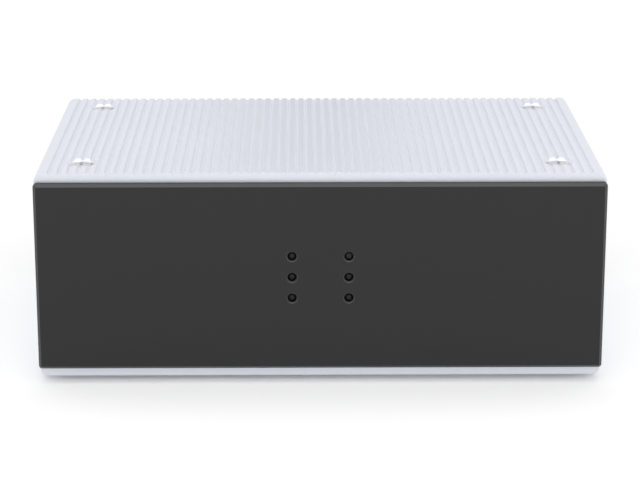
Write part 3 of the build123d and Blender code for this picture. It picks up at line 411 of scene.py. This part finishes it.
# ---- materials ------------------------------------------------------------------------------
def seen_ray(nodes):
    """One for what is seen directly, in a reflection or through glass, and nothing for other light."""
    path = nodes.add("ShaderNodeLightPath")
    either = nodes.math("MAXIMUM", path.outputs["Is Camera Ray"], path.outputs["Is Glossy Ray"])
    return nodes.math("MAXIMUM", either, path.outputs["Is Transmission Ray"])


def shader(name):
    """A new material with its Principled shader and its Object coordinates."""
    material = bpy.data.materials.new(name)
    material.use_nodes = True
    nodes = Nodes(material.node_tree)
    principled = material.node_tree.nodes["Principled BSDF"]
    where = nodes.add("ShaderNodeTexCoord").outputs["Object"]
    return material, nodes, principled, where


def bumped(nodes, principled, height, distance, strength=1.0):
    """Feeds a height through a Bump node into the shader's normal."""
    bump = nodes.add("ShaderNodeBump", {"Strength": strength, "Distance": distance, "Height": height})
    nodes.put(principled, "Normal", bump.outputs[0])


def grained(nodes, where, colour, scale, speckle, drift, roughness):
    """The Grain group placed in a material with its own values."""
    node = nodes.add("ShaderNodeGroup", node_tree=grain_group())
    values = {"Vector": where, "Color": colour, "Scale": scale, "Speckle": speckle, "Drift": drift}
    for key, value in values.items():
        nodes.put(node, key, value)
    nodes.put(node, "Roughness", roughness)
    return node.outputs


def surface(name, colour, roughness, metallic=0.0, scale=2200.0, speckle=0.08, drift=0.05, relief=0.00001):
    """A grained surface: the pattern of most metal and moulded pieces here."""
    material, nodes, principled, where = shader(name)
    out = grained(nodes, where, linear(colour), scale, speckle, drift, roughness)
    nodes.put(principled, "Base Color", out["Color"])
    nodes.put(principled, "Roughness", out["Roughness"])
    principled.inputs["Metallic"].default_value = metallic
    bumped(nodes, principled, out["Height"], relief)
    return material


def silver_aluminium():
    """Fine-blasted clear anodising, with faint die lines front to back."""
    case = settings().case
    material, nodes, principled, where = shader("Silver aluminium")
    out = grained(nodes, where, linear(case.silver), 0.7 / case.grain, 0.05, 0.03, case.roughness)
    lines = nodes.add("ShaderNodeGroup", {"Vector": where}, node_tree=drawn_group())
    dust = nodes.add("ShaderNodeGroup", {"Vector": where, "Amount": 0.02}, node_tree=dust_group())
    tone = nodes.math("MULTIPLY", nodes.math("ADD", lines.outputs[0], 1.0), 0.02)
    drawn = nodes.mix(tone, out["Color"], shade(case.silver, 0.8))
    nodes.put(principled, "Base Color", nodes.mix(dust.outputs[0], drawn, (0.8, 0.8, 0.78, 1.0)))
    nodes.put(principled, "Roughness", nodes.math("ADD", out["Roughness"], dust.outputs[0]))
    principled.inputs["Metallic"].default_value = 0.55
    height = nodes.math("ADD", out["Height"], nodes.math("MULTIPLY", lines.outputs[0], 0.4))
    bumped(nodes, principled, height, 0.000012)
    return material


def dark_plate():
    """Satin dark grey anodising with a very fine grain, smoother on the bevels, which also carry a painted
    highlight: a paler tone where the chamfers would catch the overhead light.
    """
    plate = settings().plate
    material, nodes, principled, where = shader("Dark plate")
    out = grained(nodes, where, linear(plate.dark), 3200.0, 0.14, 0.04, plate.roughness)
    bevel_mask = nodes.add("ShaderNodeGroup", node_tree=bevel_mask_group()).outputs[0]
    # painted highlight: the bevels are painted 2.6 times paler than the plate, standing in for the overhead
    # light that the chamfers catch
    nodes.put(principled, "Base Color", nodes.mix(bevel_mask, out["Color"], shade(plate.dark, 2.6)))
    smoother = nodes.math("MULTIPLY", bevel_mask, 0.2)
    nodes.put(principled, "Roughness", nodes.math("SUBTRACT", out["Roughness"], smoother))
    principled.inputs["Metallic"].default_value = 0.2
    principled.inputs["Specular IOR Level"].default_value = 0.3
    bumped(nodes, principled, out["Height"], 0.000008)
    return material


def turned_metal(name, colour, roughness):
    """Plated steel with rings round each screw, which sit at the four corners of the case."""
    material, nodes, principled, where = shader(name)
    low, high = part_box("pillars")
    radius = PILLAR_RADIUS
    centre = Vector(((low[0] + high[0]) / 2, (low[1] + high[1]) / 2, 0))
    reach = Vector((high[0] - centre.x - radius, high[1] - centre.y - radius, 0))
    moved = nodes.add("ShaderNodeVectorMath", {0: where, 1: centre}, operation="SUBTRACT").outputs[0]
    folded = nodes.add("ShaderNodeVectorMath", {0: moved}, operation="ABSOLUTE").outputs[0]
    local = nodes.add("ShaderNodeVectorMath", {0: folded, 1: reach}, operation="SUBTRACT").outputs[0]
    flat = nodes.scaled(local, (1.0, 1.0, 0.0))
    away = nodes.add("ShaderNodeVectorMath", {0: flat}, operation="LENGTH").outputs["Value"]
    rings = nodes.math("SINE", nodes.math("MULTIPLY", away, RING_TURNS))
    out = grained(nodes, where, linear(colour), 2600.0, 0.06, 0.08, roughness)
    nodes.put(principled, "Base Color", out["Color"])
    ripple = nodes.math("MULTIPLY", rings, 0.03)
    nodes.put(principled, "Roughness", nodes.math("ADD", out["Roughness"], ripple))
    principled.inputs["Metallic"].default_value = 1.0
    turned = nodes.math("MULTIPLY", rings, 0.5)
    bumped(nodes, principled, nodes.math("ADD", out["Height"], turned), 0.000006)
    return material


def board_laminate():
    """Green coated laminate with tracks and pads showing through it."""
    board = settings().board
    material, nodes, principled, where = shader("Board laminate")
    tracks = nodes.add(
        "ShaderNodeTexBrick",
        {"Vector": where, "Color1": (1, 1, 1, 1), "Color2": (0.7, 0.7, 0.7, 1), "Mortar": (0, 0, 0, 1)},
    )
    for key, value in {"Scale": 160.0, "Mortar Size": 0.03, "Brick Width": 0.9, "Row Height": 0.2}.items():
        nodes.put(tracks, key, value)
    out = grained(nodes, where, linear(board.mask), 900.0, 0.1, 0.1, 0.28)
    amount = nodes.math("MULTIPLY", tracks.outputs[0], 0.55)
    nodes.put(principled, "Base Color", nodes.mix(amount, out["Color"], linear(board.track)))
    nodes.put(principled, "Roughness", out["Roughness"])
    bumped(nodes, principled, tracks.outputs[0], 0.00003)
    return material


def lamp_resin(name, colour, roughness):
    """The tinted resin of an unlit lamp, a little milky inside."""
    material, nodes, principled, where = shader(name)
    out = grained(nodes, where, linear(colour), 700.0, 0.2, 0.1, roughness)
    nodes.put(principled, "Base Color", out["Color"])
    nodes.put(principled, "Roughness", out["Roughness"])
    principled.inputs["Specular IOR Level"].default_value = 0.25
    bumped(nodes, principled, out["Height"], 0.000004)
    return material


def split_material(name, axis, middle, below, above, roughness, metallic=0.0, period=0.0):
    """Two colours on either side of a plane, or in stripes where a period is given."""
    material, nodes, principled, where = shader(name)
    parts = nodes.add("ShaderNodeSeparateXYZ", {0: where})
    value = nodes.math("SUBTRACT", parts.outputs[axis], middle)
    if period:
        value = nodes.math("SINE", nodes.math("MULTIPLY", value, 2 * math.pi / period))
    side = nodes.math("GREATER_THAN", value, 0.0)
    colour = nodes.mix(side, linear(below), linear(above))
    out = grained(nodes, where, colour, 1500.0, 0.08, 0.05, roughness)
    nodes.put(principled, "Base Color", out["Color"])
    nodes.put(principled, "Roughness", out["Roughness"])
    principled.inputs["Metallic"].default_value = metallic
    bumped(nodes, principled, out["Height"], 0.00001)
    return material


def fuse_material():
    """Clear glass between two plated caps, told apart by the distance from the fuse's middle."""
    material, nodes, principled, where = shader("Fuse")
    low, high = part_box("fuse")
    parts = nodes.add("ShaderNodeSeparateXYZ", {0: where})
    away = nodes.math("ABSOLUTE", nodes.math("SUBTRACT", parts.outputs[0], (low[0] + high[0]) / 2))
    cap = nodes.math("GREATER_THAN", away, (high[0] - low[0]) / 2 - FUSE_CAP)
    metal = settings().metal
    colour = nodes.mix(cap, (0.62, 0.66, 0.66, 1.0), linear(metal.nickel))
    out = grained(nodes, where, colour, 900.0, 0.05, 0.05, 0.18)
    nodes.put(principled, "Base Color", out["Color"])
    nodes.put(principled, "Roughness", out["Roughness"])
    nodes.put(principled, "Metallic", cap)
    bumped(nodes, principled, out["Height"], 0.000005)
    return material


# ---- small pieces that the frame leaves out -------------------------------------------------
def add_bar(builder, low, high, edge):
    """A small block between two corners with its edges broken."""
    middle = (Vector(low) + Vector(high)) / 2
    size = Vector(high) - Vector(low)
    place = Matrix.Translation(middle) @ Matrix.Diagonal((*size, 1.0))
    made = bmesh.ops.create_cube(builder, size=1.0, matrix=place)
    edges = list({e for v in made["verts"] for e in v.link_edges})
    bmesh.ops.bevel(
        builder,
        geom=edges,
        offset=edge,
        offset_type="OFFSET",
        segments=2,
        profile=0.5,
        affect="EDGES",
        material=-1,
    )


# ---- operators ------------------------------------------------------------------------------
class KVM_OT_case(bpy.types.Operator):
    """Finish the two silver shells"""

    bl_idname = "kvm.case"
    bl_label = "Case shells"

    def execute(self, context):
        silver = silver_aluminium()
        edge = settings().case.edge
        worked_copy("top_shell", silver, edge)
        worked_copy("bottom_shell", silver, edge)
        return {"FINISHED"}


class KVM_OT_front(bpy.types.Operator):
    """Finish the front plate and the lamps behind it"""

    bl_idname = "kvm.front"
    bl_label = "Front plate and lamps"

    def execute(self, context):
        plate = settings().plate
        worked_copy("front_plate", dark_plate(), plate.edge)
        dress("front_carrier", surface("Carrier", plate.dark, 0.6, 0.2, 1800.0))
        dark = lamp_resin("Dark resin", plate.resin, 0.45)
        milky = lamp_resin("Milky resin", [c * 1.4 for c in plate.resin], 0.6)
        for column in (1, 2):
            for row in (1, 2, 3):
                pale = column == 2 and row == 3
                worked_copy(f"lamp_{column}_{row}", milky if pale else dark, 0.05 * MM, sharp=50.0)
        return {"FINISHED"}


class KVM_OT_screws(bpy.types.Operator):
    """Finish the case's screws"""

    bl_idname = "kvm.screws"
    bl_label = "Screws"

    def execute(self, context):
        metal = settings().metal
        worked_copy("clamp_screws", turned_metal("Turned steel", metal.zinc, 0.2), 0.12 * MM)
        zinc = surface("Zinc", metal.zinc, 0.28, 1.0, 1400.0, 0.1, 0.1, 0.000008)
        worked_copy("panel_screws", zinc, 0.08 * MM)
        for node in ("carrier_screws", "board_screws"):
            dress(node, zinc)
        dress("pillars", surface("Turned aluminium", metal.tin, 0.3, 1.0, 1200.0))
        return {"FINISHED"}


class KVM_OT_feet(bpy.types.Operator):
    """Finish the four rubber feet"""

    bl_idname = "kvm.feet"
    bl_label = "Feet"

    def execute(self, context):
        rubber = surface("Rubber", settings().plastic.rubber, 0.8, 0.0, 1600.0, 0.3, 0.1, 0.00004)
        for number in range(1, 5):
            worked_copy(f"foot_{number}", rubber, 0.25 * MM, segments=3)
        return {"FINISHED"}


class KVM_OT_rear(bpy.types.Operator):
    """Finish the rear panel"""

    bl_idname = "kvm.rear"
    bl_label = "Rear panel"

    def execute(self, context):
        powder = surface("Powder coat", settings().plastic.powder, 0.55, 0.0, 1500.0, 0.18, 0.05, 0.00004)
        worked_copy("rear_panel", powder, 0.12 * MM)
        return {"FINISHED"}


class KVM_OT_sockets(bpy.types.Operator):
    """Finish the video, data and audio sockets"""

    bl_idname = "kvm.sockets"
    bl_label = "Sockets"

    def execute(self, context):
        metal, plastic = settings().metal, settings().plastic
        nickel = surface("Nickel", metal.nickel, 0.24, 1.0, 900.0, 0.08, 0.12, 0.000006)
        black = surface("Black moulding", plastic.black, 0.45, 0.0, 2400.0, 0.2, 0.06, 0.00001)
        pale = surface("Pale moulding", plastic.pale, 0.4, 0.0, 1800.0)
        for name in ("console", "computer_1", "computer_2"):
            worked_copy(f"video_shell_{name}", nickel, 0.12 * MM)
            worked_copy(f"video_insert_{name}", black, 0.06 * MM)
        worked_copy("video_jackscrews", nickel, 0.2 * MM)
        for number in (1, 2):
            worked_copy(f"usb_b_shell_{number}", nickel, 0.06 * MM)
            worked_copy(f"usb_b_insert_{number}", pale, 0.1 * MM)
        worked_copy("usb_a_shell", nickel, 0.08 * MM)
        worked_copy("usb_a_tongues", pale, 0.12 * MM)
        worked_copy("speaker_socket", surface("Speaker", plastic.speaker, 0.38), 0.15 * MM)
        worked_copy("microphone_socket", surface("Microphone", plastic.microphone, 0.38), 0.15 * MM)
        worked_copy("reset_cap", black, 0.1 * MM)
        dress("reset_switch", black)
        self.contacts()
        return {"FINISHED"}

    def contacts(self):
        """Four gilt contacts under each flat tongue."""
        gilt = surface("Gilt", settings().metal.brass, 0.22, 1.0, 700.0)
        builder = bmesh.new()
        low, high = (Vector(v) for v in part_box("usb_a_tongues"))
        for top in (low.z + TONGUE_THICKNESS, high.z):
            bottom = top - TONGUE_THICKNESS - CONTACT_STAND
            for step in range(4):
                left = (low.x + high.x) / 2 + (step - 1.5) * CONTACT_PITCH - CONTACT_WIDTH / 2
                near = (left, high.y - CONTACT_SETBACK - CONTACT_LENGTH, bottom)
                far = (left + CONTACT_WIDTH, high.y - CONTACT_SETBACK, bottom + CONTACT_THICKNESS)
                add_bar(builder, near, far, 0.04 * MM)
        link(builder, "usb_a_contacts", gilt, "case")


class KVM_OT_power(bpy.types.Operator):
    """Finish the mains inlet, the fuse drawer and the rocker switch"""

    bl_idname = "kvm.power"
    bl_label = "Inlet, fuse drawer and rocker"

    def execute(self, context):
        metal, plastic = settings().metal, settings().plastic
        housing = surface("Inlet moulding", plastic.black, 0.4, 0.0, 1900.0, 0.2, 0.06, 0.000012)
        gloss = surface("Rocker moulding", plastic.black, 0.22, 0.0, 900.0, 0.1, 0.05, 0.000006)
        pins = surface("Pin plating", metal.tin, 0.2, 1.0, 700.0)
        worked_copy("inlet_housing", housing, 0.3 * MM)
        worked_copy("inlet_pins", pins, 0.15 * MM)
        worked_copy("fuse_drawer", housing, 0.25 * MM)
        dress("fuse", fuse_material())
        worked_copy("switch_housing", housing, 0.3 * MM)
        worked_copy("rocker", gloss, 0.3 * MM, segments=3)
        dress("switch_tabs", pins)
        return {"FINISHED"}


class KVM_OT_inside(bpy.types.Operator):
    """Finish the boards, the power supply and the wiring"""

    bl_idname = "kvm.inside"
    bl_label = "Boards and wiring"

    def execute(self, context):
        metal, plastic, board = settings().metal, settings().plastic, settings().board
        laminate = board_laminate()
        for node in ("main_board", "port_board", "supply_board", "light_board", "riser_board"):
            dress(node, laminate)
        dress("board_spacers", surface("Brass", metal.brass, 0.25, 1.0, 900.0))
        dress("heatsink", surface("Heatsink", metal.tin, 0.4, 1.0, 900.0))
        dark = surface("Chip moulding", plastic.black, 0.5, 0.0, 2600.0, 0.25)
        for node in ("control_chips", "board_headers"):
            dress(node, dark)
        low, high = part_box("transformer")
        middle = (low[1] + high[1]) / 2
        core, plate = (0.25, 0.25, 0.27), (0.3, 0.29, 0.28)
        dress("transformer", split_material("Transformer", 1, middle, core, plate, 0.45, 0.3, 1.0 * MM))
        dress("capacitors", surface("Sleeve", board.sleeve, 0.3, 0.0, 800.0))
        x = sum(v[0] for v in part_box("inlet_pins")) / 2
        brown, blue = (0.42, 0.25, 0.14), (0.16, 0.3, 0.62)
        dress("mains_wires", split_material("Mains wires", 0, x, brown, blue, 0.42))
        y = sum(v[1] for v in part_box("dc_wires")) / 2
        dress("dc_wires", split_material("Supply wires", 1, y, (0.7, 0.1, 0.1), (0.09, 0.09, 0.1), 0.42))
        green, yellow = (0.2, 0.5, 0.2), (0.8, 0.72, 0.16)
        dress("earth_wire", split_material("Earth wire", 2, 0.0, green, yellow, 0.42, 0.0, 3 * MM))
        grey, shadow = board.ribbon, [c * 0.8 for c in board.ribbon]
        dress("ribbon_cable", split_material("Ribbon", 0, 0.0, grey, shadow, 0.5, 0.0, 1.27 * MM))
        return {"FINISHED"}


class KVM_OT_stage(bpy.types.Operator):
    """Make the floor, the lamps and the camera"""

    bl_idname = "kvm.stage"
    bl_label = "Stage"

    def execute(self, context):
        stage = settings().stage
        self.floor(stage)
        self.world(stage)
        self.lamp("Overhead lamp", (0.0, -0.1, 1.1), (0, 0, 0), 1.3, stage.key, reflected=True)
        self.lamp("Front lamp", (0.0, -1.6, 0.9), (0, 0, 0.03), 1.8, stage.fill)
        self.lamp("Left lamp", (-1.1, -0.5, 0.7), (0, 0, 0.03), 0.9, stage.side)
        self.lamp("Right lamp", (1.1, -0.5, 0.7), (0, 0, 0.03), 0.9, stage.side)
        self.card()
        self.camera(stage)
        view = context.scene.view_settings
        view.view_transform = "Standard"
        return {"FINISHED"}

    def floor(self, stage):
        builder = bmesh.new()
        bmesh.ops.create_grid(builder, x_segments=1, y_segments=1, size=20.0)
        mesh = bpy.data.meshes.new("Floor")
        builder.to_mesh(mesh)
        builder.free()
        floor = bpy.data.objects.new("Floor", mesh)
        bpy.context.scene.collection.objects.link(floor)
        material = bpy.data.materials.new("Floor")
        material.use_nodes = True
        nodes = Nodes(material.node_tree)
        principled = material.node_tree.nodes["Principled BSDF"]
        principled.inputs["Base Color"].default_value = linear(stage.floor)
        principled.inputs["Roughness"].default_value = 1.0
        principled.inputs["Specular IOR Level"].default_value = 0.0
        where = nodes.add("ShaderNodeTexCoord").outputs["Object"]
        away = nodes.add("ShaderNodeVectorMath", {0: where}, operation="LENGTH").outputs["Value"]
        far = nodes.add("ShaderNodeMapRange", {"Value": away, "From Min": 0.25, "From Max": 1.4})
        nodes.put(far, "To Min", 0.1)
        nodes.put(far, "To Max", 0.55)
        seen = nodes.math("MULTIPLY", seen_ray(nodes), far.outputs[0])
        principled.inputs["Emission Color"].default_value = (1, 1, 1, 1)
        nodes.put(principled, "Emission Strength", seen)
        mesh.materials.append(material)

    def card(self):
        """A black card behind the object that only reflections show, so that domed heads read as metal."""
        builder = bmesh.new()
        stand = Matrix.Translation((0, 1.0, 0.36)) @ Matrix.Rotation(math.pi / 2, 4, "X")
        size = Matrix.Diagonal((0.06, 0.16, 1.0, 1.0))
        bmesh.ops.create_grid(builder, x_segments=1, y_segments=1, size=1.0, matrix=stand @ size)
        mesh = bpy.data.meshes.new("Card")
        builder.to_mesh(mesh)
        builder.free()
        card = bpy.data.objects.new("Card", mesh)
        bpy.context.scene.collection.objects.link(card)
        material = bpy.data.materials.new("Card")
        material.use_nodes = True
        principled = material.node_tree.nodes["Principled BSDF"]
        principled.inputs["Base Color"].default_value = (0.01, 0.01, 0.01, 1)
        principled.inputs["Roughness"].default_value = 1.0
        mesh.materials.append(material)
        card.visible_camera = False
        card.visible_diffuse = False
        card.visible_transmission = False
        card.visible_shadow = False

    def world(self, stage):
        world = bpy.data.worlds.new("Studio")
        bpy.context.scene.world = world
        world.use_nodes = True
        nodes = Nodes(world.node_tree)
        background = world.node_tree.nodes["Background"]
        strength = nodes.math("MULTIPLY", seen_ray(nodes), 1.0 - stage.ambient)
        background.inputs["Color"].default_value = (1, 1, 1, 1)
        nodes.put(background, "Strength", nodes.math("ADD", strength, stage.ambient))

    def lamp(self, name, place, target, size, power, reflected=False):
        data = bpy.data.lights.new(name, "AREA")
        data.shape = "SQUARE"
        data.size = size
        data.energy = power
        lamp = bpy.data.objects.new(name, data)
        lamp.location = place
        lamp.visible_glossy = reflected
        lamp.rotation_euler = (Vector(place) - Vector(target)).to_track_quat("Z", "Y").to_euler()
        bpy.context.scene.collection.objects.link(lamp)

    def camera(self, stage):
        data = bpy.data.cameras.new("Camera")
        data.lens = stage.lens
        data.sensor_width = 36.0
        camera = bpy.data.objects.new("Camera", data)
        camera.location = stage.place
        camera.rotation_euler = (math.pi / 2 - stage.pitch, 0.0, -stage.yaw)
        bpy.context.scene.collection.objects.link(camera)
        bpy.context.scene.camera = camera


OPERATORS = (
    KVM_OT_stage,
    KVM_OT_case,
    KVM_OT_front,
    KVM_OT_screws,
    KVM_OT_feet,
    KVM_OT_rear,
    KVM_OT_sockets,
    KVM_OT_power,
    KVM_OT_inside,
)


class KVM_PT_pieces(bpy.types.Panel):
    """The pieces of the KVM switch"""

    bl_idname = "KVM_PT_pieces"
    bl_label = "KVM Switch"
    bl_space_type = "VIEW_3D"
    bl_region_type = "UI"
    bl_category = "KVM Switch"

    def draw(self, context):
        for operator in OPERATORS:
            self.layout.operator(operator.bl_idname)
        for name in ("case", "plate", "metal", "plastic", "board", "stage"):
            box = self.layout.box()
            finish = getattr(context.scene.kvm_switch, name)
            for key in finish.__annotations__:
                box.prop(finish, key)


GROUPS = (CaseFinish, PlateFinish, MetalFinish, PlasticFinish, BoardFinish, StageSettings, SwitchSettings)
CLASSES = (*GROUPS, *OPERATORS, KVM_PT_pieces)


def register():
    for item in CLASSES:
        bpy.utils.register_class(item)
    bpy.types.Scene.kvm_switch = PointerProperty(type=SwitchSettings)


def unregister():
    del bpy.types.Scene.kvm_switch
    for item in reversed(CLASSES):
        bpy.utils.unregister_class(item)


def main():
    register()
    for operator in OPERATORS:
        section, name = operator.bl_idname.split(".")
        getattr(getattr(bpy.ops, section), name)()


if __name__ == "__main__":
    main()
